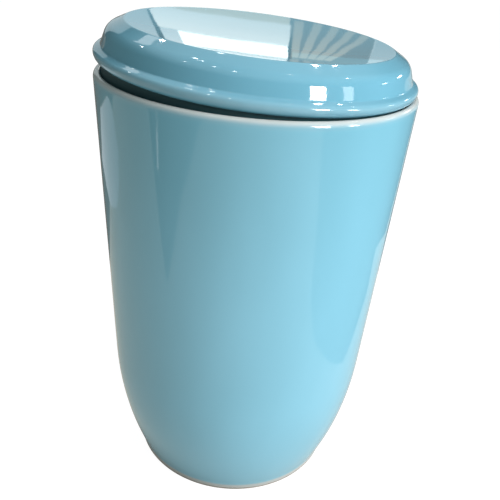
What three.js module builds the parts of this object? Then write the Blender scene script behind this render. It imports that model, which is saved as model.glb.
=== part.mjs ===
// A glazed ceramic urn: a tall round vessel on a short foot, and a lift-off lid with a dished top.
// The lid sits askew: its flange rests on the lip at one side, and at the other side its collar is
// caught just inside the lip, so the flange stands clear there.
// Millimetres, +Z up, origin at the centre of the foot on the surface that the urn stands on.

import * as THREE from 'three';

// Driving dimensions of the body
const rimRadius = 90.4;
const bodyHeight = 261.5;
const wallThickness = 4.5;
const wallDraft = 1.47;
const bellyTop = 82;
const footRadius = 69.8;
const footHeight = 8;
const footFlare = 13.5;
const footEdgeRound = 1.2;
const footRingWidth = 7;
const footRecess = 2.5;
const floorThickness = 5;
const floorCornerRadius = 14;
const lipRise = 2.8;

// Driving dimensions of the lid, with heights above the underside of its flange
const collarClearance = 0.4;
const collarDepth = 6.8;
const collarThickness = 4.2;
const collarEdgeRound = 1;
const flangeInset = 0.9;
const flangeMiddle = 4.6;
const flangeUnderReach = 6.3;
const flangeEdgeRound = 2.3;
const shelfHeight = 7.9;
const shelfWidth = 3.8;
const shelfSlope = 24;
const shelfCornerRadius = 1.2;
const lidWallLean = 19;
const shoulderRadius = 8.2;
const crestHeight = 21.4;
const crestInset = 12.1;
const crestSlope = 27;
const crestRound = 2;
const dishDepth = 4;
const lidThickness = 4.2;

// How the lid lies on the body
const lidTilt = 2.25;
const highSide = 164;
const restGap = 0.3;

// Facets round each piece, and facets of each rounded stretch of an outline
const facets = 56;
const bellySteps = 8;
const lipSteps = 8;
const flangeSteps = 6;
const dishSteps = 4;
const roundSteps = 3;

// Rounds and samples used to find where the lid comes to rest
const settlingRounds = 6;
const settlingSteps = 60;

const radians = THREE.MathUtils.degToRad;
const point = (r, z) => new THREE.Vector2(r, z);

// Points on an elliptical arc about a centre, both ends included, with its angles in degrees.
function arc(centre, radiusR, radiusZ, fromDegrees, toDegrees, steps) {
  const points = [];
  for (let i = 0; i <= steps; i += 1) {
    const angle = radians(fromDegrees + (toDegrees - fromDegrees) * i / steps);
    points.push(point(centre.x + radiusR * Math.cos(angle), centre.y + radiusZ * Math.sin(angle)));
  }
  return points;
}

// A corner of an outline, rounded by an arc that touches both of its sides.
function rounded(before, corner, after, radius, steps = roundSteps) {
  const toBefore = before.clone().sub(corner).normalize();
  const toAfter = after.clone().sub(corner).normalize();
  const halfAngle = Math.acos(toBefore.dot(toAfter)) / 2;
  const inwards = toBefore.clone().add(toAfter).normalize();
  const centre = corner.clone().addScaledVector(inwards, radius / Math.sin(halfAngle));
  const start = corner.clone().addScaledVector(toBefore, radius / Math.tan(halfAngle)).sub(centre);
  const turn = Math.PI - 2 * halfAngle;
  const sense = Math.sign(toBefore.cross(toAfter)) * -1;
  const points = [];
  for (let i = 0; i <= steps; i += 1) {
    const spoke = start.clone().rotateAround(point(0, 0), sense * turn * i / steps);
    points.push(centre.clone().add(spoke));
  }
  return points;
}

// Where two straight sides of an outline meet, each given by a point and its angle above level.
function meeting(first, firstDegrees, second, secondDegrees) {
  const a = point(Math.cos(radians(firstDegrees)), Math.sin(radians(firstDegrees)));
  const b = point(Math.cos(radians(secondDegrees)), Math.sin(radians(secondDegrees)));
  const along = second.clone().sub(first).cross(b) / a.cross(b);
  return first.clone().addScaledVector(a, along);
}

// An outline turned into a round solid about the vertical axis.
function turned(name, outline, material) {
  const geometry = new THREE.LatheGeometry(outline, facets);
  geometry.rotateX(Math.PI / 2);
  const mesh = new THREE.Mesh(geometry, material);
  mesh.name = name;
  return mesh;
}

// The body's wall: a straight tapered stretch above, and below it one arc that runs in to the foot.
const bellyTopRadius = rimRadius - (bodyHeight - bellyTop) * Math.tan(radians(wallDraft));
const footTopRadius = footRadius + footHeight * Math.tan(radians(footFlare));
const bellyDrop = point(bellyTopRadius - footTopRadius, bellyTop - footHeight);
const bellyChordLean = Math.atan2(bellyDrop.x, bellyDrop.y);
const bellyRadius = bellyDrop.length() / (2 * Math.sin(bellyChordLean - radians(wallDraft)));

// The point of the belly's arc where the wall leans out by an angle, at a depth inside its surface.
function bellyPoint(lean, depth) {
  const draft = radians(wallDraft);
  const outer = point(
    bellyTopRadius - bellyRadius * (Math.cos(draft) - Math.cos(lean)),
    bellyTop - bellyRadius * (Math.sin(lean) - Math.sin(draft)),
  );
  return outer.add(point(-depth * Math.cos(lean), depth * Math.sin(lean)));
}

// The belly from its lower end, or from a steeper lean, up to the straight wall.
function bellyArc(depth, fromLean) {
  const points = [];
  for (let i = 0; i <= bellySteps; i += 1) {
    const lean = fromLean + (radians(wallDraft) - fromLean) * i / bellySteps;
    points.push(bellyPoint(lean, depth));
  }
  return points;
}

const lipMiddle = point(rimRadius - wallThickness / 2, bodyHeight - lipRise);
const mouthRadius = rimRadius - wallThickness;

// The lip and the inner wall below it, grown by the gap that a piece resting on them keeps.
const clearLip = point(wallThickness / 2 + restGap, lipRise + restGap);

// The greatest radius that a piece inside the mouth can reach at a height.
function clearMouth(z) {
  const rise = Math.max((z - lipMiddle.y) / clearLip.y, 0);
  const belowLip = Math.max(lipMiddle.y - z, 0);
  const across = rise < 1 ? clearLip.x * Math.sqrt(1 - rise ** 2) : -Infinity;
  return lipMiddle.x - across - belowLip * Math.tan(radians(wallDraft));
}

// The least height that a piece above the lip can have at a radius.
function clearHeight(r) {
  const across = Math.abs(r - lipMiddle.x) / clearLip.x;
  return across < 1 ? lipMiddle.y + clearLip.y * Math.sqrt(1 - across ** 2) : -Infinity;
}

function bodyOutline() {
  const footEdge = point(footRadius, 0);
  const footTop = point(footTopRadius, footHeight);
  const ringInner = point(footRadius - footRingWidth, 0);
  const recessCorner = point(ringInner.x - footRecess, footRecess);
  const floorTop = footRecess + floorThickness;
  const floorLean = 2 * bellyChordLean - radians(wallDraft);
  const innerWall = bellyArc(wallThickness, floorLean)
    .filter((p) => p.y > floorTop + floorCornerRadius);
  const innerFoot = innerWall[0];
  const innerRise = innerWall[1].clone().sub(innerFoot);
  const innerAngle = THREE.MathUtils.radToDeg(innerRise.angle());
  const floorCorner = meeting(innerFoot, innerAngle, point(0, floorTop), 0);
  return [
    point(0, footRecess),
    recessCorner,
    ringInner,
    ...rounded(ringInner, footEdge, footTop, footEdgeRound),
    ...bellyArc(0, floorLean),
    ...arc(lipMiddle, wallThickness / 2, lipRise, 0, 180, lipSteps),
    ...innerWall.reverse(),
    ...rounded(innerFoot, floorCorner, point(0, floorTop), floorCornerRadius, 2 * roundSteps),
    point(0, floorTop),
  ];
}

// The lid's outline, from the middle of its underside round the collar, flange and shoulder to the dish.
const collarRadius = mouthRadius - collarClearance;
const flangeRadius = rimRadius - flangeInset;
const crest = point(rimRadius - crestInset - shelfWidth - flangeInset, crestHeight);

function collarOutline(steps = roundSteps) {
  const inside = point(collarRadius - collarThickness, -collarDepth);
  const outside = point(collarRadius, -collarDepth);
  const top = point(collarRadius, 0);
  return [
    ...rounded(point(inside.x, 0), inside, outside, collarEdgeRound, steps),
    ...rounded(inside, outside, top, collarEdgeRound, steps),
  ];
}

function flangeUnderside(steps = flangeSteps) {
  const centre = point(flangeRadius - flangeUnderReach, flangeMiddle);
  const fromCollar = Math.acos((collarRadius - centre.x) / flangeUnderReach);
  return arc(centre, flangeUnderReach, flangeMiddle, -THREE.MathUtils.radToDeg(fromCollar), 0, steps);
}

function lidOutline() {
  const shelfInner = point(flangeRadius - shelfWidth, shelfHeight);
  const shelfEdge = meeting(shelfInner, -shelfSlope, point(flangeRadius, 0), 90);
  const shoulder = meeting(shelfInner, 90 + lidWallLean, crest, -crestSlope);
  const dishRadius = (crest.x ** 2 + dishDepth ** 2) / (2 * dishDepth);
  const dishCentre = point(0, crest.y - dishDepth + dishRadius);
  const dishReach = THREE.MathUtils.radToDeg(Math.asin(crest.x / dishRadius));
  const dish = arc(dishCentre, dishRadius, dishRadius, -90 + dishReach, -90, dishSteps);
  const under = arc(dishCentre, dishRadius + lidThickness, dishRadius + lidThickness,
    -90, -90 + dishReach, dishSteps);
  const innerShoulder = meeting(point(collarRadius - collarThickness, shelfHeight), 90 + lidWallLean,
    under.at(-1), -crestSlope);
  const innerWallFoot = point(collarRadius - collarThickness, shelfHeight);
  return [
    ...under,
    ...rounded(under.at(-1), innerShoulder, innerWallFoot, lidThickness / 2),
    innerWallFoot,
    ...collarOutline(),
    ...flangeUnderside(),
    ...rounded(point(flangeRadius, 0), shelfEdge, shelfInner, flangeEdgeRound),
    ...rounded(shelfEdge, shelfInner, shoulder, shelfCornerRadius),
    ...rounded(shelfInner, shoulder, crest, shoulderRadius, 2 * roundSteps),
    ...rounded(shoulder, crest, dish[1], crestRound),
    ...dish.slice(1),
  ];
}

// Where the tilted lid comes to rest. At the low side its flange lies on the lip, which sets how high
// the lid lies, and at the high side its collar meets the lip's inner edge, which sets how far it slides.
function lidRest() {
  const cosTilt = Math.cos(radians(lidTilt));
  const sinTilt = Math.sin(radians(lidTilt));
  const rest = { lift: bodyHeight, slide: 0 };
  for (let round = 0; round < settlingRounds; round += 1) {
    const lifts = flangeUnderside(settlingSteps).map((p) => {
      const reach = p.x * cosTilt + p.y * sinTilt - rest.slide;
      return clearHeight(reach) - (p.y * cosTilt - p.x * sinTilt);
    });
    rest.lift = Math.max(...lifts);
    const slides = collarOutline(settlingSteps).map((p) => {
      const height = rest.lift + p.x * sinTilt + p.y * cosTilt;
      return clearMouth(height) - (p.x * cosTilt - p.y * sinTilt);
    });
    rest.slide = Math.min(...slides);
  }
  return rest;
}

const glaze = new THREE.MeshStandardMaterial({ color: 0x76b3c4, roughness: 0.12, metalness: 0 });
const lidGlaze = new THREE.MeshStandardMaterial({ color: 0x6ea9bb, roughness: 0.12, metalness: 0 });

const body = turned('body', bodyOutline(), glaze);
const lid = turned('lid', lidOutline(), lidGlaze);

// The lid is tipped about a level line through the middle of its flange, square to its high side.
const rest = lidRest();
const towardsHigh = new THREE.Vector3(Math.cos(radians(highSide)), Math.sin(radians(highSide)), 0);
const tipAxis = new THREE.Vector3(0, 0, 1).cross(towardsHigh).negate();
lid.quaternion.setFromAxisAngle(tipAxis, radians(lidTilt));
lid.position.copy(towardsHigh).multiplyScalar(rest.slide);
lid.position.z = rest.lift;

const urn = new THREE.Group();
urn.add(body, lid);

export default urn;
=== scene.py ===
"""Dresses a tall glazed urn and its lift-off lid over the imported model. Metres, +Z up."""

import logging
import math
from dataclasses import dataclass
from enum import Enum

import bpy
from bpy.types import ID, Material, Mesh, Node, NodeOutputs, NodeSocket, NodeTree, Object, World
from mathutils import Matrix, Vector


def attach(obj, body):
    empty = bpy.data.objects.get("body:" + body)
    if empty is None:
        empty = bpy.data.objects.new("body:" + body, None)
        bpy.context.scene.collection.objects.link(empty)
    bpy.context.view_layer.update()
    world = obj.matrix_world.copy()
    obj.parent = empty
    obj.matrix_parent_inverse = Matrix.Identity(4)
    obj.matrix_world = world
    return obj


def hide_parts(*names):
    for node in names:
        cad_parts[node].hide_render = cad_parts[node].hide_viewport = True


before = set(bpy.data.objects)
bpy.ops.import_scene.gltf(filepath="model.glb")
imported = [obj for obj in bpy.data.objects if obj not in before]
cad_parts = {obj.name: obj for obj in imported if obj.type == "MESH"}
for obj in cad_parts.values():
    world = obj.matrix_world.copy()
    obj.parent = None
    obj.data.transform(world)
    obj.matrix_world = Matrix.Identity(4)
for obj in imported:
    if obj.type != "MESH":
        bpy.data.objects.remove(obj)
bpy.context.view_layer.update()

LOG = logging.getLogger("urn")

IMAGE_WIDTH = 500
IMAGE_HEIGHT = 500
SENSOR = 36.0
SHORTEST_STRETCH = 1e-7
SEAM_GAP = 1e-6
CARD_HEIGHT = 0.0006
NOISE_DETAIL = 2.0

Colour = tuple[float, float, float]
Limits = tuple[float, float]

WHITE: Colour = (1.0, 1.0, 1.0)
COOL: Colour = (0.85, 0.97, 1.0)
WARM: Colour = (1.0, 0.87, 0.62)


class Piece(Enum):
    """The urn's two pieces, by the names of their solids."""

    BODY = "body"
    LID = "lid"


class Mark(Enum):
    """What is written on the surface of a turned form for its glaze to read."""

    # Thin glaze; on the lid it also paints a highlight along the flange's edge and crest
    THIN = "thin_glaze"
    # Bare clay; under the body's foot its dark colour is painted shade
    RAW = "raw_clay"
    # Painted shade inside the mouth and under the lid, which also dulls the glaze there
    INSIDE = "inside"


# Outlines of turned forms: x is the radius and y is the height


def arc(
    centre: Vector, reach: float, rise: float, start: float, end: float, steps: int
) -> list[Vector]:
    """Points on an elliptical arc, both ends included.

    Args:
        centre: The ellipse's centre.
        reach: Half of its width.
        rise: Half of its height.
        start: The first point's angle in degrees.
        end: The last point's angle in degrees.
        steps: How many stretches the arc is cut into.

    Returns:
        The points in order.
    """
    points = []
    for i in range(steps + 1):
        angle = math.radians(start + (end - start) * i / steps)
        points.append(centre + Vector((reach * math.cos(angle), rise * math.sin(angle))))
    return points


def rounded(
    before: Vector, corner: Vector, after: Vector, radius: float, steps: int = 8
) -> list[Vector]:
    """A corner of an outline, rounded by an arc that touches both of its sides.

    Args:
        before: A point on the side that leads to the corner.
        corner: The sharp corner.
        after: A point on the side that leaves it.
        radius: The arc's radius.
        steps: How many stretches the arc is cut into.

    Returns:
        The arc's points in order.
    """
    to_before = (before - corner).normalized()
    to_after = (after - corner).normalized()
    half = math.acos(max(-1.0, min(1.0, to_before.dot(to_after)))) / 2
    centre = corner + (to_before + to_after).normalized() * (radius / math.sin(half))
    start = corner + to_before * (radius / math.tan(half)) - centre
    cross = to_before.x * to_after.y - to_before.y * to_after.x
    turn = -math.copysign(math.pi - 2 * half, cross)
    points = []
    for i in range(steps + 1):
        angle = turn * i / steps
        cos, sin = math.cos(angle), math.sin(angle)
        spoke = Vector((start.x * cos - start.y * sin, start.x * sin + start.y * cos))
        points.append(centre + spoke)
    return points


def meeting(first: Vector, first_slope: float, second: Vector, second_slope: float) -> Vector:
    """Where two straight sides of an outline meet.

    Args:
        first: A point on the first side.
        first_slope: That side's angle above level, in degrees.
        second: A point on the second side.
        second_slope: That side's angle above level, in degrees.

    Returns:
        The corner.
    """
    a = Vector((math.cos(math.radians(first_slope)), math.sin(math.radians(first_slope))))
    b = Vector((math.cos(math.radians(second_slope)), math.sin(math.radians(second_slope))))
    gap = second - first
    along = (gap.x * b.y - gap.y * b.x) / (a.x * b.y - a.y * b.x)
    return first + a * along


@dataclass(frozen=True)
class ThinPlace:
    """A place on an outline where the glaze ran thin, or where there is none.

    Attributes:
        at: The point where it is thinnest.
        strength: How thin it is there, from 0 to 1.
        before: How far it reaches along the outline before that point. It reaches the outline's end
            at full strength where this is math.inf.
        after: How far it reaches after it, in the same way.
    """

    at: Vector
    strength: float
    before: float
    after: float


@dataclass
class Outline:
    """Half of a turned form's section, from the axis round the outside to the axis again."""

    points: list[Vector]

    def filled(self, spacing: float) -> "Outline":
        """Cuts long stretches into shorter ones.

        Args:
            spacing: The longest stretch that stays whole.

        Returns:
            The same outline with more points.
        """
        points = [self.points[0]]
        for point in self.points[1:]:
            start = points[-1]
            length = (point - start).length
            if length < SHORTEST_STRETCH:
                continue
            count = max(1, math.ceil(length / spacing))
            points.extend(start.lerp(point, i / count) for i in range(1, count + 1))
        return Outline(points)

    def lengths(self) -> list[float]:
        """The length along the outline up to each of its points.

        Returns:
            A length for each point.
        """
        total = [0.0]
        for start, end in zip(self.points, self.points[1:]):
            total.append(total[-1] + (end - start).length)
        return total

    def thinness(self, places: list[ThinPlace]) -> list[float]:
        """How thin the glaze is at each point.

        Args:
            places: The places where it ran thin.

        Returns:
            A value from 0 to 1 for each point.
        """
        lengths = self.lengths()
        values = [0.0] * len(self.points)
        for place in places:
            nearest = min(range(len(lengths)), key=lambda i: (self.points[i] - place.at).length)
            for i, length in enumerate(lengths):
                away = length - lengths[nearest]
                reach = place.after if away > 0 else place.before
                share = max(0.0, 1 - abs(away) / reach)
                smooth = share * share * (3 - 2 * share)
                values[i] = max(values[i], place.strength * smooth)
        return values

    def mesh(self, name: str, marks: dict[Mark, list[ThinPlace]]) -> Mesh:
        """The outline as a chain of edges that carries its marks.

        Args:
            name: The mesh's name.
            marks: The places of each mark.

        Returns:
            The mesh, in the plane of X and Z.
        """
        mesh = bpy.data.meshes.new(name)
        corners = [(point.x, 0.0, point.y) for point in self.points]
        mesh.from_pydata(corners, [(i, i + 1) for i in range(len(corners) - 1)], [])
        for mark, places in marks.items():
            layer = mesh.attributes.new(mark.value, "FLOAT", "POINT")
            layer.data.foreach_set("value", self.thinness(places))
        return mesh


# Node trees

Source = NodeSocket | float | int | str | tuple[float, ...]


@dataclass
class Wiring:
    """Adds nodes to a tree and joins them up."""

    tree: NodeTree

    def node(self, kind: str, **settings: object) -> Node:
        """A new node.

        Args:
            kind: The node's kind.
            settings: Its settings, by name.

        Returns:
            The node.
        """
        node = self.tree.nodes.new(kind)
        for key, value in settings.items():
            setattr(node, key, value)
        return node

    def feed(self, target: NodeSocket, source: Source) -> None:
        """Joins a socket to a source, or sets it where the source is a plain value.

        Args:
            target: The socket.
            source: The socket that feeds it, or its value.
        """
        if isinstance(source, NodeSocket):
            self.tree.links.new(source, target)
        else:
            target.default_value = source

    def fill(self, node: Node, feeds: dict[str | int, Source]) -> None:
        """Feeds some of a node's inputs.

        Args:
            node: The node.
            feeds: What feeds them, by their names or places.
        """
        for key, source in feeds.items():
            self.feed(node.inputs[key], source)

    def step(self, kind: str, feeds: dict[str | int, Source], **settings: object) -> NodeSocket:
        """A new node with its inputs fed.

        Args:
            kind: The node's kind.
            feeds: What feeds its inputs, by their names or places.
            settings: Its settings, by name.

        Returns:
            The node's first output.
        """
        node = self.node(kind, **settings)
        self.fill(node, feeds)
        return node.outputs[0]

    def math(self, operation: str, *values: Source) -> NodeSocket:
        """Arithmetic on numbers.

        Args:
            operation: What is done with them.
            values: The numbers.

        Returns:
            The result.
        """
        return self.step("ShaderNodeMath", dict(enumerate(values)), operation=operation)

    def vector(self, operation: str, *values: Source) -> NodeSocket:
        """Arithmetic on vectors.

        Args:
            operation: What is done with them.
            values: The vectors.

        Returns:
            The vector that results.
        """
        return self.step("ShaderNodeVectorMath", dict(enumerate(values)), operation=operation)

    def combine(self, *parts: Source) -> NodeSocket:
        """A vector from its parts.

        Args:
            parts: Its X, Y and Z.

        Returns:
            The vector.
        """
        return self.step("ShaderNodeCombineXYZ", dict(enumerate(parts)))

    def split(self, vector: Source) -> list[NodeSocket]:
        """The parts of a vector.

        Args:
            vector: The vector.

        Returns:
            Its X, Y and Z.
        """
        node = self.node("ShaderNodeSeparateXYZ")
        self.feed(node.inputs[0], vector)
        return list(node.outputs)

    def mixed(self, share: Source, first: Source, second: Source) -> NodeSocket:
        """A colour between two colours.

        Args:
            share: How much of the second there is, from 0 to 1.
            first: The first colour.
            second: The second colour.

        Returns:
            The colour between them.
        """
        node = self.node("ShaderNodeMix", data_type="RGBA")
        # The node keeps its sockets for colours at these places, after those for numbers
        self.fill(node, {0: share, 6: first, 7: second})
        return node.outputs[2]

    def ramped(self, value: Source, low: float, high: float) -> NodeSocket:
        """A value taken smoothly from 0 at a low limit to 1 at a high one.

        Args:
            value: The value.
            low: The low limit.
            high: The high limit.

        Returns:
            The value between 0 and 1.
        """
        feeds = {"Value": value, "From Min": low, "From Max": high}
        return self.step("ShaderNodeMapRange", feeds, interpolation_type="SMOOTHSTEP")

    def noise(
        self, place: Source, scale: Source, detail: float = NOISE_DETAIL, seed: Source = 0.0
    ) -> NodeSocket:
        """A soft noise.

        Args:
            place: Where it is read.
            scale: How many of its waves there are in a metre.
            detail: How many finer layers it has.
            seed: Which noise it is.

        Returns:
            A value between 0 and 1.
        """
        feeds = {"Vector": place, "Scale": scale, "W": seed, "Detail": detail}
        return self.step("ShaderNodeTexNoise", feeds, noise_dimensions="4D")


def new_group(name: str, kind: str, inputs: dict[str, str], outputs: dict[str, str]) -> NodeTree:
    """A new node tree with named sockets.

    Args:
        name: The tree's name.
        kind: The tree's kind.
        inputs: The kind of each input, by name.
        outputs: The kind of each output, by name.

    Returns:
        The tree, without its nodes.
    """
    tree = bpy.data.node_groups.new(name, kind)
    for way, sockets in (("INPUT", inputs), ("OUTPUT", outputs)):
        for title, socket in sockets.items():
            tree.interface.new_socket(title, in_out=way, socket_type="NodeSocket" + socket)
    return tree


@dataclass(frozen=True)
class Pose:
    """How a turned form stands: tipped towards a low side, slid towards its high side and lifted.

    Attributes:
        tilt: How far it is tipped, in degrees.
        high_side: The direction of its high side, in degrees from +X.
        slide: How far it is slid towards that side.
        lift: How high its own level line stands.
    """

    tilt: float = 0.0
    high_side: float = 0.0
    slide: float = 0.0
    lift: float = 0.0


@dataclass
class TurnedForm(Wiring):
    """The nodes that turn an outline about the upright axis and stand the form in its place.

    Attributes:
        given: The tree's inputs.
    """

    given: NodeOutputs

    def sheet(self) -> tuple[NodeSocket, NodeSocket]:
        """A sheet with a row for each point of the outline, rolled round the axis.

        Returns:
            The rolled sheet, and each point's row.
        """
        outline = self.given["Geometry"]
        count = self.step("GeometryNodeAttributeDomainSize", {0: outline}, component="MESH")
        around = self.math("ADD", self.given["Segments"], 1)
        grid = self.step("GeometryNodeMeshGrid", {"Vertices X": count, "Vertices Y": around})
        index = self.node("GeometryNodeInputIndex").outputs[0]
        row = self.math("FLOOR", self.math("DIVIDE", self.math("ADD", index, 0.5), around))
        column = self.math("SUBTRACT", index, self.math("MULTIPLY", row, around))
        turn = self.math("DIVIDE", self.math("MULTIPLY", column, -math.tau), self.given["Segments"])
        place = self.node("GeometryNodeInputPosition").outputs[0]
        feeds = {"Geometry": outline, "Value": place, "Index": row}
        point = self.step("GeometryNodeSampleIndex", feeds, data_type="FLOAT_VECTOR")
        radius, _, height = self.split(point)
        x = self.math("MULTIPLY", radius, self.math("COSINE", turn))
        y = self.math("MULTIPLY", radius, self.math("SINE", turn))
        feeds = {"Geometry": grid, "Position": self.combine(x, y, height)}
        return self.step("GeometryNodeSetPosition", feeds), row

    def marked(self, sheet: NodeSocket, row: NodeSocket) -> NodeSocket:
        """Carries the outline's marks over, then closes the seam and the poles.

        Args:
            sheet: The rolled sheet.
            row: Each point's row.

        Returns:
            The closed form.
        """
        kind = {"data_type": "FLOAT"}
        for mark in Mark:
            named = self.step("GeometryNodeInputNamedAttribute", {0: mark.value}, **kind)
            feeds = {"Geometry": self.given["Geometry"], "Value": named, "Index": row}
            value = self.step("GeometryNodeSampleIndex", feeds, **kind)
            feeds = {"Geometry": sheet, "Name": mark.value, "Value": value}
            sheet = self.step("GeometryNodeStoreNamedAttribute", feeds, domain="POINT", **kind)
        return self.step("GeometryNodeMergeByDistance", {"Geometry": sheet, "Distance": SEAM_GAP})

    def swayed(self, form: NodeSocket) -> NodeSocket:
        """Draws the surface in a little here and there, as on a piece made by hand.

        Args:
            form: The closed form.

        Returns:
            The form with its sway.
        """
        place = self.node("GeometryNodeInputPosition").outputs[0]
        wave = self.noise(place, self.given["Sway Size"], 1.0, seed=self.given["Seed"])
        depth = self.math("MULTIPLY", wave, self.given["Sway"])
        inwards = self.vector("NORMALIZE", self.vector("MULTIPLY", place, (-1.0, -1.0, 0.0)))
        offset = self.vector("MULTIPLY", inwards, self.combine(depth, depth, 0.0))
        return self.step("GeometryNodeSetPosition", {"Geometry": form, "Offset": offset})

    def posed(self, form: NodeSocket) -> NodeSocket:
        """Tips, slides and lifts the form.

        Args:
            form: The form on its own axis.

        Returns:
            The form where it stands.
        """
        side = self.given["High Side"]
        towards = self.combine(self.math("COSINE", side), self.math("SINE", side), 0.0)
        feeds = {
            "Vector": self.node("GeometryNodeInputPosition").outputs[0],
            "Axis": self.vector("CROSS_PRODUCT", towards, (0.0, 0.0, 1.0)),
            "Angle": self.given["Tilt"],
        }
        tipped = self.step("ShaderNodeVectorRotate", feeds, rotation_type="AXIS_ANGLE")
        shift = self.combine(
            self.math("MULTIPLY", self.math("COSINE", side), self.given["Slide"]),
            self.math("MULTIPLY", self.math("SINE", side), self.given["Slide"]),
            self.given["Lift"],
        )
        feeds = {"Geometry": form, "Position": self.vector("ADD", tipped, shift)}
        return self.step("GeometryNodeSetPosition", feeds)


def placed(name: str, data: ID) -> Object:
    """A new object in the scene.

    Args:
        name: The object's name.
        data: Its mesh, camera or light.

    Returns:
        The object.
    """
    thing = bpy.data.objects.new(name, data)
    bpy.context.scene.collection.objects.link(thing)
    return thing


@dataclass(frozen=True)
class Turning:
    """How an outline is turned into a round form, with the slight sway of a piece made by hand.

    Attributes:
        segments: How many stretches go round.
        sway: The most that the surface lies inside its true radius.
        sway_size: How many waves of that sway there are in a metre.
        seed: Which sway it is.
    """

    segments: int = 256
    sway: float = 0.00016
    sway_size: float = 16.0
    seed: int = 3

    TREE = "turned form"

    def tree(self) -> NodeTree:
        """The Geometry Nodes tree that turns an outline about the upright axis.

        Returns:
            The tree, made once.
        """
        found = bpy.data.node_groups.get(self.TREE)
        if found:
            return found
        numbers = ("Sway", "Sway Size", "Tilt", "High Side", "Slide", "Lift")
        inputs = {"Geometry": "Geometry", "Material": "Material", "Segments": "Int", "Seed": "Int"}
        inputs.update(dict.fromkeys(numbers, "Float"))
        tree = new_group(self.TREE, "GeometryNodeTree", inputs, {"Geometry": "Geometry"})
        form = TurnedForm(tree, tree.nodes.new("NodeGroupInput").outputs)
        posed = form.posed(form.swayed(form.marked(*form.sheet())))
        smooth = form.step("GeometryNodeSetShadeSmooth", {"Geometry": posed})
        real = form.step("GeometryNodeRealizeInstances", {"Geometry": smooth})
        feeds = {"Geometry": real, "Material": form.given["Material"]}
        dressed = form.step("GeometryNodeSetMaterial", feeds)
        form.feed(form.node("NodeGroupOutput").inputs[0], dressed)
        return tree

    def turn(self, name: str, outline: Mesh, pose: Pose, material: Material) -> Object:
        """Turns an outline into a closed round piece.

        Args:
            name: The piece's name.
            outline: The outline's mesh, with its marks.
            pose: How the piece stands.
            material: Its finish.

        Returns:
            The piece as a plain mesh.
        """
        pattern = placed(name + "_outline", outline)
        modifier = pattern.modifiers.new("turning", "NODES")
        modifier.node_group = self.tree()
        values = {
            "Segments": self.segments,
            "Sway": self.sway,
            "Sway Size": self.sway_size,
            "Seed": self.seed,
            "Tilt": math.radians(pose.tilt),
            "High Side": math.radians(pose.high_side),
            "Slide": pose.slide,
            "Lift": pose.lift,
            "Material": material,
        }
        for item in modifier.node_group.interface.items_tree:
            if item.in_out == "INPUT" and item.name in values:
                modifier[item.identifier] = values[item.name]
        graph = bpy.context.evaluated_depsgraph_get()
        mesh = bpy.data.meshes.new_from_object(pattern.evaluated_get(graph), depsgraph=graph)
        pattern.modifiers.remove(modifier)
        bpy.data.objects.remove(pattern)
        mesh.name = name
        return placed(name, mesh)


# Finishes


def peel_group() -> NodeTree:
    """The slight orange peel and slow waves of a glossy glaze.

    Returns:
        A group that puts out a height, made once.
    """
    found = bpy.data.node_groups.get("glaze surface")
    if found:
        return found
    inputs = dict.fromkeys(("Peel Scale", "Peel", "Wave Scale", "Wave"), "Float")
    group = new_group("glaze surface", "ShaderNodeTree", inputs, {"Height": "Float"})
    wires = Wiring(group)
    given = wires.node("NodeGroupInput").outputs
    place = wires.node("ShaderNodeTexCoord").outputs["Object"]
    dimples = wires.noise(place, given["Peel Scale"], detail=1.0)
    waves = wires.noise(place, given["Wave Scale"], detail=0.0)
    peel = wires.math("MULTIPLY", dimples, given["Peel"])
    wave = wires.math("MULTIPLY", waves, given["Wave"])
    wires.feed(wires.node("NodeGroupOutput").inputs[0], wires.math("ADD", peel, wave))
    return group


# How every glaze varies: waves to a metre, heights in metres, and shares from 0 to 1
CLOUD_SCALE = 22.0
CLOUD_STRETCH = (1.0, 1.0, 0.35)
CLOUD_LIMITS = (0.3, 0.7)
CLOUD_SHARE = 0.25
# Painted light: how low the lighter colour reaches, standing in for stronger light there, and how
# much of it
PAINTED_LOW_LIGHT_LIMITS = (0.14, 0.28)
PAINTED_LOW_LIGHT_SHARE = 0.75
RAGGED_SCALE = 90.0
RAGGED_THIN = 0.35
RAGGED_BARE = 0.3
THIN_LIMITS = (0.02, 0.98)
BARE_LIMITS = (0.42, 0.58)
BARE_ROUGHNESS = 0.7
INSIDE_ROUGHNESS = 0.7


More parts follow.
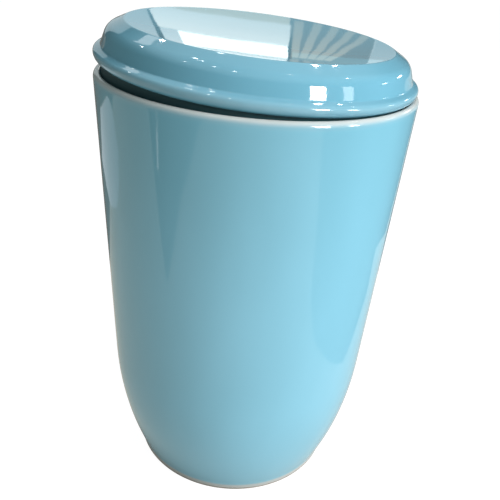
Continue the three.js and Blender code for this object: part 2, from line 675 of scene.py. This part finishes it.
def colour_group() -> NodeTree:
    """The colour and gloss of a glaze over its thin places and bare clay, with painted shade and
    light.

    Returns:
        A group that puts out a colour and a roughness, made once.
    """
    found = bpy.data.node_groups.get("glaze colour")
    if found:
        return found
    inputs = dict.fromkeys(("Deep", "Cloud And Low Light", "Thin", "Clay", "Inside"), "Color")
    inputs.update(dict.fromkeys(("Gloss", "Thin Gloss"), "Float"))
    outputs = {"Color": "Color", "Roughness": "Float"}
    group = new_group("glaze colour", "ShaderNodeTree", inputs, outputs)
    wires = Wiring(group)
    given = wires.node("NodeGroupInput").outputs
    place = wires.node("ShaderNodeTexCoord").outputs["Object"]
    stretched = wires.vector("MULTIPLY", place, CLOUD_STRETCH)
    clouds = wires.ramped(wires.noise(stretched, CLOUD_SCALE), *CLOUD_LIMITS)
    # Painted light: the glaze turns lighter low down
    below = wires.math("SUBTRACT", 1.0, wires.ramped(wires.split(place)[2], *PAINTED_LOW_LIGHT_LIMITS))
    share = wires.math(
        "ADD",
        wires.math("MULTIPLY", clouds, CLOUD_SHARE),
        wires.math("MULTIPLY", below, PAINTED_LOW_LIGHT_SHARE),
    )
    glaze = wires.mixed(share, given["Deep"], given["Cloud And Low Light"])
    thin, raw, inside = (
        wires.node("ShaderNodeAttribute", attribute_name=mark.value).outputs["Fac"]
        for mark in (Mark.THIN, Mark.RAW, Mark.INSIDE)
    )
    ragged = wires.math("SUBTRACT", wires.noise(place, RAGGED_SCALE), 0.5)
    frayed = wires.math("MULTIPLY", ragged, wires.math("MULTIPLY", thin, RAGGED_THIN))
    thinness = wires.ramped(wires.math("ADD", thin, frayed), *THIN_LIMITS)
    uneven = wires.math("ADD", raw, wires.math("MULTIPLY", ragged, RAGGED_BARE))
    bare = wires.ramped(uneven, *BARE_LIMITS)
    # Painted shade: the dark inside colour where the inside mark lies
    painted_shade_inside = wires.mixed(inside, glaze, given["Inside"])
    over_thin = wires.mixed(thinness, painted_shade_inside, given["Thin"])
    step = wires.math("SUBTRACT", given["Thin Gloss"], given["Gloss"])
    gloss = wires.math("ADD", given["Gloss"], wires.math("MULTIPLY", step, thinness))
    dry = wires.math("MULTIPLY", wires.math("SUBTRACT", BARE_ROUGHNESS, gloss), bare)
    dull = wires.math("MULTIPLY", inside, INSIDE_ROUGHNESS)
    wires.fill(wires.node("NodeGroupOutput"), {
        "Color": wires.mixed(bare, over_thin, given["Clay"]),
        "Roughness": wires.math("ADD", wires.math("ADD", gloss, dry), dull),
    })
    return group


@dataclass(frozen=True)
class Glaze:
    """A gloss glaze on pale clay.

    Attributes:
        name: The material's name.
        deep: Its colour high on the pieces and between the clouds.
        cloud_and_low_light: Its colour in the faint clouds across it, and low on the body, painted
            lighter there as stronger light.
        thin: Its colour where it breaks over an edge.
        clay: The colour of the bare clay; on the body it is dark, as painted shade under the foot.
        inside: The dark colour painted inside, as shade.
        gloss: The roughness of thick glaze.
        thin_gloss: The roughness of thin glaze.
        peel: The height of its orange peel.
        peel_scale: How many dimples of that peel there are in a metre.
        wave: The height of its slow waves.
        wave_scale: How many of those waves there are in a metre.
        ior: Its index of refraction.
    """

    name: str
    deep: Colour
    cloud_and_low_light: Colour
    thin: Colour
    clay: Colour
    # Painted shade for the inside and the lid's underside
    inside: Colour = (0.004, 0.05, 0.06)
    gloss: float = 0.05
    thin_gloss: float = 0.16
    peel: float = 0.00001
    peel_scale: float = 420.0
    wave: float = 0.00006
    wave_scale: float = 45.0
    ior: float = 1.52

    def material(self) -> Material:
        """The glaze as a material.

        Returns:
            The material.
        """
        material = bpy.data.materials.new(self.name)
        material.use_nodes = True
        material.diffuse_color = (*self.deep, 1.0)
        wires = Wiring(material.node_tree)
        shader = material.node_tree.nodes["Principled BSDF"]
        colour = wires.node("ShaderNodeGroup", node_tree=colour_group())
        wires.fill(colour, {
            "Deep": (*self.deep, 1.0),
            "Cloud And Low Light": (*self.cloud_and_low_light, 1.0),
            "Thin": (*self.thin, 1.0),
            "Clay": (*self.clay, 1.0),
            "Inside": (*self.inside, 1.0),
            "Gloss": self.gloss,
            "Thin Gloss": self.thin_gloss,
        })
        height = wires.step("ShaderNodeGroup", {
            "Peel Scale": self.peel_scale,
            "Peel": self.peel,
            "Wave Scale": self.wave_scale,
            "Wave": self.wave,
        }, node_tree=peel_group())
        wires.fill(shader, {
            "Base Color": colour.outputs["Color"],
            "Roughness": colour.outputs["Roughness"],
            "Normal": wires.step("ShaderNodeBump", {"Distance": 1.0, "Height": height}),
            "IOR": self.ior,
        })
        return material


# The two pieces


@dataclass
class Vessel:
    """The hollow body: foot, belly, tapered wall and lip. Its sizes are the part's own."""

    rim_radius: float = 0.0904
    height: float = 0.2615
    wall: float = 0.0045
    draft: float = 1.47
    belly_top: float = 0.082
    foot_radius: float = 0.0698
    foot_height: float = 0.008
    foot_flare: float = 13.5
    foot_edge_round: float = 0.0012
    foot_ring: float = 0.007
    foot_recess: float = 0.0025
    recess_round: float = 0.0008
    ring_round: float = 0.0006
    thin_line_height: float = 0.0026
    floor: float = 0.005
    floor_corner: float = 0.014
    lip_rise: float = 0.0028
    belly_steps: int = 40
    lip_steps: int = 28
    floor_steps: int = 16
    spacing: float = 0.0026
    pose: Pose = Pose()
    node: Piece = Piece.BODY

    def _belly(self, depth: float, lean_from: float) -> list[Vector]:
        """The belly's arc, at a depth inside the surface, up to the straight wall.

        Args:
            depth: How far inside the outer surface it runs.
            lean_from: How far the wall leans out at its lower end, in radians.

        Returns:
            The arc's points from below.
        """
        draft = math.radians(self.draft)
        top = self.rim_radius - (self.height - self.belly_top) * math.tan(draft)
        foot_top = self.foot_radius + self.foot_height * math.tan(math.radians(self.foot_flare))
        drop = Vector((top - foot_top, self.belly_top - self.foot_height))
        radius = drop.length / (2 * math.sin(math.atan2(drop.x, drop.y) - draft))
        points = []
        for i in range(self.belly_steps + 1):
            lean = lean_from + (draft - lean_from) * i / self.belly_steps
            r = top - radius * (math.cos(draft) - math.cos(lean)) - depth * math.cos(lean)
            z = self.belly_top - radius * (math.sin(lean) - math.sin(draft))
            z += depth * math.sin(lean)
            points.append(Vector((r, z)))
        return points

    def outline(self) -> Outline:
        """The body's outline, from under the foot over the lip to the floor inside.

        Returns:
            The outline.
        """
        draft = math.radians(self.draft)
        top = self.rim_radius - (self.height - self.belly_top) * math.tan(draft)
        foot_top = Vector((
            self.foot_radius + self.foot_height * math.tan(math.radians(self.foot_flare)),
            self.foot_height,
        ))
        lean = 2 * math.atan2(top - foot_top.x, self.belly_top - foot_top.y) - draft
        foot_edge = Vector((self.foot_radius, 0.0))
        ring_inner = Vector((self.foot_radius - self.foot_ring, 0.0))
        recess = Vector((ring_inner.x - self.foot_recess, self.foot_recess))
        floor = Vector((0.0, self.foot_recess + self.floor))
        inner = [p for p in self._belly(self.wall, lean) if p.y > floor.y + self.floor_corner]
        rise = inner[1] - inner[0]
        corner = meeting(inner[0], math.degrees(math.atan2(rise.y, rise.x)), floor, 0.0)
        lip = Vector((self.rim_radius - self.wall / 2, self.height - self.lip_rise))
        inner_foot = inner[0]
        inner.reverse()
        return Outline([
            Vector((0.0, self.foot_recess)),
            *rounded(Vector((0.0, recess.y)), recess, ring_inner, self.recess_round),
            *rounded(recess, ring_inner, foot_edge, self.ring_round),
            *rounded(ring_inner, foot_edge, foot_top, self.foot_edge_round),
            *self._belly(0.0, lean),
            *arc(lip, self.wall / 2, self.lip_rise, 0, 180, self.lip_steps),
            *inner,
            *rounded(inner_foot, corner, floor, self.floor_corner, self.floor_steps),
            floor,
        ])

    def marks(self) -> dict[Mark, list[ThinPlace]]:
        """Where the body's glaze ran thin, where shade is painted inside, and where the clay is
        bare.

        Returns:
            The places of each mark.
        """
        lip = Vector((self.rim_radius - self.wall / 2, self.height))
        mouth = Vector((self.rim_radius - self.wall, self.height - self.lip_rise))
        foot = Vector((self.foot_radius, self.thin_line_height))
        under = Vector((self.foot_radius - self.foot_ring / 2, 0.0))
        return {
            Mark.THIN: [
                ThinPlace(lip, strength=1.0, before=0.0056, after=0.003),
                ThinPlace(foot, strength=1.4, before=0.0045, after=0.0042),
            ],
            # Bare clay under the foot, in a dark colour that paints the shade beneath it
            Mark.RAW: [ThinPlace(under, strength=6.0, before=0.006, after=0.0047)],
            # Painted shade: dark inside the mouth and down the inner wall
            Mark.INSIDE: [ThinPlace(mouth, strength=1.0, before=0.0015, after=math.inf)],
        }


@dataclass
class Lid:
    """The lift-off lid. Its sizes are the part's own, with heights above its flange's underside."""

    rim_radius: float = 0.0904
    mouth_radius: float = 0.0859
    collar_clearance: float = 0.0004
    collar_depth: float = 0.0068
    collar_wall: float = 0.0042
    collar_edge_round: float = 0.001
    flange_inset: float = 0.0009
    flange_middle: float = 0.0046
    flange_under_reach: float = 0.0063
    flange_edge_round: float = 0.0023
    shelf_height: float = 0.0079
    shelf_width: float = 0.0038
    shelf_slope: float = 24.0
    shelf_corner_round: float = 0.0012
    wall_lean: float = 19.0
    shoulder_radius: float = 0.0082
    crest_height: float = 0.0214
    crest_inset: float = 0.0121
    crest_slope: float = 27.0
    crest_round: float = 0.002
    dish_depth: float = 0.004
    thickness: float = 0.0042
    dish_steps: int = 40
    flange_steps: int = 24
    shoulder_steps: int = 16
    spacing: float = 0.0016
    pose: Pose = Pose(tilt=2.25, high_side=164.0, slide=0.0006065, lift=0.263579)
    node: Piece = Piece.LID

    def outline(self) -> Outline:
        """The lid's outline, from under its middle round the collar and flange to its dish.

        Returns:
            The outline.
        """
        collar = self.mouth_radius - self.collar_clearance
        flange = self.rim_radius - self.flange_inset
        shelf_inner = Vector((flange - self.shelf_width, self.shelf_height))
        crest = Vector((shelf_inner.x - self.crest_inset, self.crest_height))
        shelf_edge = meeting(shelf_inner, -self.shelf_slope, Vector((flange, 0.0)), 90.0)
        shoulder = meeting(shelf_inner, 90 + self.wall_lean, crest, -self.crest_slope)
        dish_radius = (crest.x**2 + self.dish_depth**2) / (2 * self.dish_depth)
        dish_centre = Vector((0.0, crest.y - self.dish_depth + dish_radius))
        reach = math.degrees(math.asin(crest.x / dish_radius))
        dish = arc(dish_centre, dish_radius, dish_radius, -90 + reach, -90, self.dish_steps)
        # The crest's round takes the place of the dish's first two points
        dish = dish[2:]
        under_radius = dish_radius + self.thickness
        under = arc(dish_centre, under_radius, under_radius, -90, -90 + reach, self.dish_steps)
        foot = Vector((collar - self.collar_wall, self.shelf_height))
        inner_shoulder = meeting(foot, 90 + self.wall_lean, under[-1], -self.crest_slope)
        inside = Vector((foot.x, -self.collar_depth))
        outside = Vector((collar, -self.collar_depth))
        middle = Vector((flange - self.flange_under_reach, self.flange_middle))
        start = -math.degrees(math.acos((collar - middle.x) / self.flange_under_reach))
        return Outline([
            *under,
            *rounded(under[-1], inner_shoulder, foot, self.thickness / 2),
            foot,
            *rounded(foot, inside, outside, self.collar_edge_round),
            *rounded(inside, outside, Vector((collar, 0.0)), self.collar_edge_round),
            *arc(middle, self.flange_under_reach, self.flange_middle, start, 0, self.flange_steps),
            *rounded(Vector((flange, 0.0)), shelf_edge, shelf_inner, self.flange_edge_round),
            *rounded(shelf_edge, shelf_inner, shoulder, self.shelf_corner_round),
            *rounded(shelf_inner, shoulder, crest, self.shoulder_radius, self.shoulder_steps),
            *rounded(shoulder, crest, dish[0], self.crest_round),
            *dish,
        ])

    def marks(self) -> dict[Mark, list[ThinPlace]]:
        """Where the lid's glaze is thin, where a highlight is painted, and where shade is painted
        under it.

        Returns:
            The places of each mark.
        """
        flange = self.rim_radius - self.flange_inset
        edge = Vector((flange, self.flange_middle))
        crest = Vector((flange - self.shelf_width - self.crest_inset, self.crest_height))
        underside = Vector((self.mouth_radius - self.collar_clearance, 0.0))
        return {
            Mark.THIN: [
                # Thin glaze at the flange's edge, spread wide as a painted highlight along it
                ThinPlace(edge, strength=0.28, before=0.004, after=0.005),
                # Pale along the crest: a painted highlight
                ThinPlace(crest, strength=0.15, before=0.003, after=0.003),
            ],
            Mark.RAW: [],
            # Painted shade: the underside and the collar are dark
            Mark.INSIDE: [ThinPlace(underside, strength=1.0, before=math.inf, after=0.0014)],
        }


def dressed_piece(form: Vessel | Lid, turning: Turning, material: Material) -> Object:
    """Makes a piece in its solid's place, on the same body and with its finish.

    Args:
        form: The piece's sizes.
        turning: How it is turned.
        material: Its finish.

    Returns:
        The piece.
    """
    name = form.node.value
    chain = form.outline().filled(form.spacing).mesh(name + "_outline", form.marks())
    piece = turning.turn(name + "_glazed", chain, form.pose, material)
    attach(piece, "root")
    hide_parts(name)
    return piece


# Camera, floor and light


@dataclass(frozen=True)
class PhotoCamera:
    """The camera, fitted to the outline and the rings of the urn, with its angles in radians.

    Attributes:
        place: Where it stands.
        pan: How far it is turned to the right.
        tilt: How far it looks down.
        roll: How far it leans over.
        focal: The distance of its picture, in pixels.
        middle: Where its axis meets the picture, in pixels.
        nearest: The nearest thing that it sees.
        farthest: The farthest thing that it sees.
    """

    place: tuple[float, float, float] = (0.0, -0.3547293, 0.3335979)
    pan: float = 0.0507
    tilt: float = 0.5545
    roll: float = 0.1018
    focal: float = 600.0
    middle: tuple[float, float] = (267.674, 300.033)
    nearest: float = 0.02
    farthest: float = 50.0

    def build(self) -> Object:
        """Makes the camera and gives it to the scene.

        Returns:
            The camera.
        """
        ahead = Vector((
            math.sin(self.pan) * math.cos(self.tilt),
            math.cos(self.pan) * math.cos(self.tilt),
            -math.sin(self.tilt),
        ))
        level = Vector((math.cos(self.pan), -math.sin(self.pan), 0.0))
        above = level.cross(ahead)
        right = level * math.cos(self.roll) + above * math.sin(self.roll)
        up = above * math.cos(self.roll) - level * math.sin(self.roll)
        data = bpy.data.cameras.new("camera")
        data.sensor_width = SENSOR
        data.lens = self.focal / IMAGE_WIDTH * SENSOR
        data.shift_x = (IMAGE_WIDTH / 2 - self.middle[0]) / IMAGE_WIDTH
        data.shift_y = (self.middle[1] - IMAGE_HEIGHT / 2) / IMAGE_WIDTH
        data.clip_start = self.nearest
        data.clip_end = self.farthest
        camera = placed("camera", data)
        turn = Matrix((right, up, -ahead)).transposed().to_4x4()
        camera.matrix_world = Matrix.Translation(self.place) @ turn
        bpy.context.scene.camera = camera
        return camera


@dataclass(frozen=True)
class SoftPanel:
    """A soft rectangular light outside the picture, facing the urn.

    Attributes:
        name: What it is.
        towards: The way to it, in degrees from the viewer's side round to the right.
        height: How high it stands above the level of the lid, in degrees.
        width: How wide it looks from the lid, in degrees.
        tall: How tall it looks from the lid, in degrees.
        brightness: How bright its face is, where the white floor is 1.
        away: How far from the lid it stands.
        colour: The colour of its light.
        mirrored: Whether the glaze mirrors it.
        lights: Whether it lights what is dull, and not only what mirrors it.
        lean: How far it leans over to its side, in degrees.
    """

    name: str
    towards: float
    height: float
    width: float
    tall: float
    brightness: float
    away: float = 2.0
    colour: Colour = WHITE
    mirrored: bool = True
    lights: bool = True
    lean: float = 0.0

    def build(self, target: Vector) -> Object:
        """Makes the light and stands it in its place.

        Args:
            target: The point that it faces.

        Returns:
            The light.
        """
        data = bpy.data.lights.new(self.name, "AREA")
        data.shape = "RECTANGLE"
        data.size = 2 * self.away * math.tan(math.radians(self.width / 2))
        data.size_y = 2 * self.away * math.tan(math.radians(self.tall / 2))
        data.energy = self.brightness * data.size * data.size_y * math.pi
        data.color = self.colour
        lamp = placed(self.name, data)
        side, rise = math.radians(self.towards), math.radians(self.height)
        aim = Vector((
            math.sin(side) * math.cos(rise),
            -math.cos(side) * math.cos(rise),
            math.sin(rise),
        ))
        turn = (-aim).to_track_quat("-Z", "Y").to_matrix().to_4x4()
        turn = turn @ Matrix.Rotation(math.radians(self.lean), 4, "Z")
        lamp.matrix_world = Matrix.Translation(target + aim * self.away) @ turn
        lamp.visible_camera = False
        lamp.visible_glossy = self.mirrored
        lamp.visible_diffuse = self.lights
        return lamp


@dataclass(frozen=True)
class FloorCard:
    """A flat card on the floor that shows only where the glaze mirrors it.

    Attributes:
        name: What it is.
        brightness: How bright it is, where the white floor is 1.
        corners: Its corners.
        colour: The colour of its light.
    """

    name: str
    brightness: float
    corners: tuple[tuple[float, float], ...]
    colour: Colour = WHITE

    def build(self) -> Object:
        """Lays the card out.

        Returns:
            The card.
        """
        mesh = bpy.data.meshes.new(self.name)
        points = [(x, y, CARD_HEIGHT) for x, y in self.corners]
        mesh.from_pydata(points, [], [tuple(range(len(points)))])
        paper = bpy.data.materials.new(self.name)
        paper.use_nodes = True
        Wiring(paper.node_tree).fill(paper.node_tree.nodes["Principled BSDF"], {
            "Base Color": (0.0, 0.0, 0.0, 1.0),
            "Specular IOR Level": 0.0,
            "Emission Color": (*self.colour, 1.0),
            "Emission Strength": self.brightness,
        })
        mesh.materials.append(paper)
        card = placed(self.name, mesh)
        card.visible_camera = False
        card.visible_diffuse = False
        card.visible_shadow = False
        return card


@dataclass
class Studio:
    """A plain pale floor that glows like a light table, under soft light from the right.

    Attributes:
        floor_reach: How far the floor reaches to each side.
        floor_colour: The colour of its paper.
        floor_roughness: The roughness of its paper.
        floor_glow: How bright it glows.
        floor_bounce: The colour that it casts from the left.
        far_bounce: The colour that it casts from the right.
        bounce_limits: Where the one starts to pass into the other, and where it has.
        floor_mirrored: Its colour where the glaze mirrors it.
        shade: What it casts and shows in mirrors close to the foot, at the left.
        shade_radii: How far from the axis that shade starts to fade, and where it ends.
        shade_sides: Where it starts to fade to the right, and where it ends.
        sky_colour: The colour of the room.
        sky_low: How bright the room is at its walls.
        sky_high: How much brighter its ceiling is.
        sky_limits: Where the walls start to pass into the ceiling, and where they have.
        target: The point that the panels face.
        panels: The key light, the windows, walls and larger lamps.
        lamp_directions: The way to each small ceiling lamp: a panel's towards and height.
        lamp_size: How wide and how tall such a lamp looks, in degrees.
        lamp_brightness: How bright such a lamp is.
        cards: The cards on the floor.
    """

    floor_reach: float = 14.0
    floor_colour: Colour = (0.12, 0.12, 0.12)
    floor_roughness: float = 0.9
    floor_glow: float = 0.96
    floor_bounce: Colour = (0.62, 0.59, 0.53)
    far_bounce: Colour = (0.74, 0.8, 0.83)
    bounce_limits: Limits = (-0.35, 0.35)
    floor_mirrored: Colour = (0.5, 0.47, 0.4)
    shade: Colour = (0.1, 0.09, 0.07)
    shade_radii: Limits = (0.066, 0.092)
    shade_sides: Limits = (-0.05, 0.06)
    sky_colour: Colour = (0.89, 0.97, 0.97)
    sky_low: float = 0.08
    sky_high: float = 0.85
    sky_limits: Limits = (0.45, 0.85)
    target: Vector = Vector((0.0, 0.0, 0.27))
    panels: tuple[SoftPanel, ...] = (
        SoftPanel("key", 63, 28, 26, 26, 16.8, away=1.6, colour=(1.0, 0.98, 1.0), mirrored=False),
        SoftPanel("side window", 44.5, 20, 11, 7.5, 40.0),
        SoftPanel("low side window", 44.5, 6.5, 11, 10, 40.0, lights=False),
        SoftPanel("low far side window", 67.5, 5.0, 8, 9, 34.0, lights=False),
        SoftPanel("far side window", 67.5, 16, 8, 9.5, 6.0),
        SoftPanel("back window", 181.9, 3.1, 10.0, 10.8, 2.3, colour=(0.9, 1.0, 1.0)),
        SoftPanel("back window's frame", 187.75, 3.1, 1.7, 10.8, 0.9, colour=COOL),
        SoftPanel("upper back window", 182.75, 12.8, 11.7, 8.4, 1.3, colour=(0.93, 0.98, 0.95)),
        SoftPanel("left back wall", 201.6, 12, 24.6, 24, 0.62, colour=COOL, lean=-2.4),
        SoftPanel("ceiling band", 182, 24, 10, 14, 0.9, colour=(1.0, 0.95, 0.76)),
        SoftPanel("low back wall", 171.5, 2.0, 10, 7, 0.36, colour=(0.6, 0.92, 1.0)),
        SoftPanel("high back wall", 172.9, 12.5, 7.2, 14, 0.18, colour=(1.0, 0.92, 0.82)),
        SoftPanel("pale end wall", 166.8, 9, 5, 18, 0.6, colour=COOL),
        *(
            SoftPanel(
                f"{name} fold", 176.1 - 1.2 * i, 10.5, 0.75, 16, 0.34, 1.9, WARM, lean=1 + 3 * i
            )
            for i, name in enumerate(("first", "second", "third", "fourth", "fifth"))
        ),
        SoftPanel("ceiling light", 212, 38.5, 16, 6, 1.8),
        SoftPanel("right lamp", 104, 14, 7, 2.0, 28.0, lights=False),
        SoftPanel("far right lamp", 129, 14, 8, 3.5, 12.0, lights=False),
    )
    lamp_directions: tuple[tuple[float, float], ...] = (
        (-148, 43), (-123, 41), (-140, 63), (-73, 54), (-54, 67), (-22, 62), (147, 56), (96, 75),
        (-116, 69), (-162, 61), (145, 49), (108, 50),
    )
    lamp_size: float = 1.7
    lamp_brightness: float = 60.0
    cards: tuple[FloorCard, ...] = (
        # Stands in for the shade on the floor to the right, as the glaze mirrors it
        FloorCard("dark card at the right", 0.1, (
            (0.6, 0.95), (0.31, 0.31), (0.35, 0.24), (0.36, 0.18), (0.27, 0.13), (0.19, 0.0),
            (0.21, -0.14), (0.25, -0.21), (0.36, -0.32), (0.7, -0.73), (1.6, -1.6), (2.5, 0.5),
            (1.5, 1.5),
        )),
        FloorCard("dark card at the left", 0.12, (
            (-0.27, -0.19), (-0.39, -0.37), (-0.47, -0.66), (-0.8, -1.6), (-2.2, -1.0),
            (-1.0, -0.3),
        )),
        FloorCard("dark card behind", 0.16, (
            (0.19, 0.25), (-0.2, 0.22), (-0.39, 0.27), (-0.41, 0.48), (-0.66, 0.63), (-0.9, 0.46),
            (-0.84, 0.31), (-3.0, 0.7), (-9.0, 9.0), (1.5, 9.0), (0.9, 2.0), (0.55, 1.0),
            (0.42, 0.7), (0.27, 0.33),
        ), (1.0, 0.85, 0.7)),
        FloorCard("pale card", 0.85, (
            (-0.41, 0.47), (-0.39, 0.25), (-0.44, 0.165), (-0.51, 0.15), (-0.66, 0.17),
            (-0.83, 0.31), (-0.89, 0.45), (-0.66, 0.62),
        ), (0.88, 0.95, 1.0)),
        FloorCard("white strip", 2.4, (
            (-0.57, -0.262), (-0.57, -0.28), (-1.0, -0.455), (-1.0, -0.43),
        )),
    )

    def _paper(self) -> Material:
        """The floor's paper: white to look at, dimmer in what it casts and in what mirrors it.

        Returns:
            The material.
        """
        paper = bpy.data.materials.new("pale_floor")
        paper.use_nodes = True
        wires = Wiring(paper.node_tree)
        ray = wires.node("ShaderNodeLightPath").outputs
        x, y, _ = wires.split(wires.node("ShaderNodeTexCoord").outputs["Object"])
        side = wires.ramped(x, *self.bounce_limits)
        bounce = wires.mixed(side, (*self.floor_bounce, 1.0), (*self.far_bounce, 1.0))
        unseen = wires.mixed(ray["Is Glossy Ray"], bounce, (*self.floor_mirrored, 1.0))
        square = wires.math("ADD", wires.math("MULTIPLY", x, x), wires.math("MULTIPLY", y, y))
        beyond = wires.ramped(wires.math("SQRT", square), *self.shade_radii)
        right = wires.ramped(x, *self.shade_sides)
        near = wires.math("SUBTRACT", 1.0, beyond)
        left = wires.math("SUBTRACT", 1.0, right)
        shaded = wires.mixed(wires.math("MULTIPLY", near, left), unseen, (*self.shade, 1.0))
        wires.fill(paper.node_tree.nodes["Principled BSDF"], {
            "Base Color": (*self.floor_colour, 1.0),
            "Roughness": self.floor_roughness,
            "Specular IOR Level": 0.0,
            "Emission Color": wires.mixed(ray["Is Camera Ray"], shaded, (*WHITE, 1.0)),
            "Emission Strength": self.floor_glow,
        })
        return paper

    def _floor(self) -> Object:
        """Makes the floor.

        Returns:
            The floor.
        """
        far = self.floor_reach
        mesh = bpy.data.meshes.new("floor")
        corners = [(-far, -far, 0.0), (far, -far, 0.0), (far, far, 0.0), (-far, far, 0.0)]
        mesh.from_pydata(corners, [], [(0, 1, 2, 3)])
        mesh.materials.append(self._paper())
        floor = placed("floor", mesh)
        return floor

    def _sky(self) -> World:
        """A dim room with a bright ceiling, which looks as pale as the floor behind the urn.

        Returns:
            The room.
        """
        world = bpy.data.worlds.new("sky")
        world.use_nodes = True
        wires = Wiring(world.node_tree)
        height = wires.split(wires.node("ShaderNodeTexCoord").outputs["Generated"])[2]
        high = wires.ramped(height, *self.sky_limits)
        strength = wires.math("ADD", wires.math("MULTIPLY", high, self.sky_high), self.sky_low)
        seen = wires.node("ShaderNodeLightPath").outputs["Is Camera Ray"]
        wires.fill(world.node_tree.nodes["Background"], {
            "Color": wires.mixed(seen, (*self.sky_colour, 1.0), (*WHITE, 1.0)),
            "Strength": wires.math("ADD", strength, seen),
        })
        return world

    def build(self) -> None:
        """Makes the floor, the sky and the lights."""
        self._floor()
        bpy.context.scene.world = self._sky()
        size, brightness = self.lamp_size, self.lamp_brightness
        for towards, height in self.lamp_directions:
            lamp = SoftPanel("ceiling lamp", towards, height, size, size, brightness, lights=False)
            lamp.build(self.target)
        for panel in self.panels:
            panel.build(self.target)
        for card in self.cards:
            card.build()
        bpy.context.scene.view_settings.view_transform = "Standard"


BODY_GLAZE = Glaze(
    name="blue_glaze",
    deep=(0.151, 0.37, 0.458),
    cloud_and_low_light=(0.208, 0.47, 0.585),
    thin=(0.46, 0.49, 0.475),
    # Dark bare clay: painted shade under the foot
    clay=(0.26, 0.23, 0.18),
)

LID_GLAZE = Glaze(
    name="blue_lid_glaze",
    deep=(0.125, 0.325, 0.42),
    cloud_and_low_light=(0.155, 0.375, 0.475),
    # Also the colour of the painted highlight on the flange's edge and crest
    thin=(0.45, 0.53, 0.52),
    clay=(0.6, 0.58, 0.5),
)


def main() -> None:
    """Makes the camera, the two pieces, the floor and the light."""
    logging.basicConfig(level=logging.INFO, format="%(name)s: %(message)s")
    PhotoCamera().build()
    turning = Turning()
    for form, glaze in ((Vessel(), BODY_GLAZE), (Lid(), LID_GLAZE)):
        piece = dressed_piece(form, turning, glaze.material())
        LOG.info("%s has %d faces", piece.name, len(piece.data.polygons))
    Studio().build()


if __name__ == "__main__":
    main()
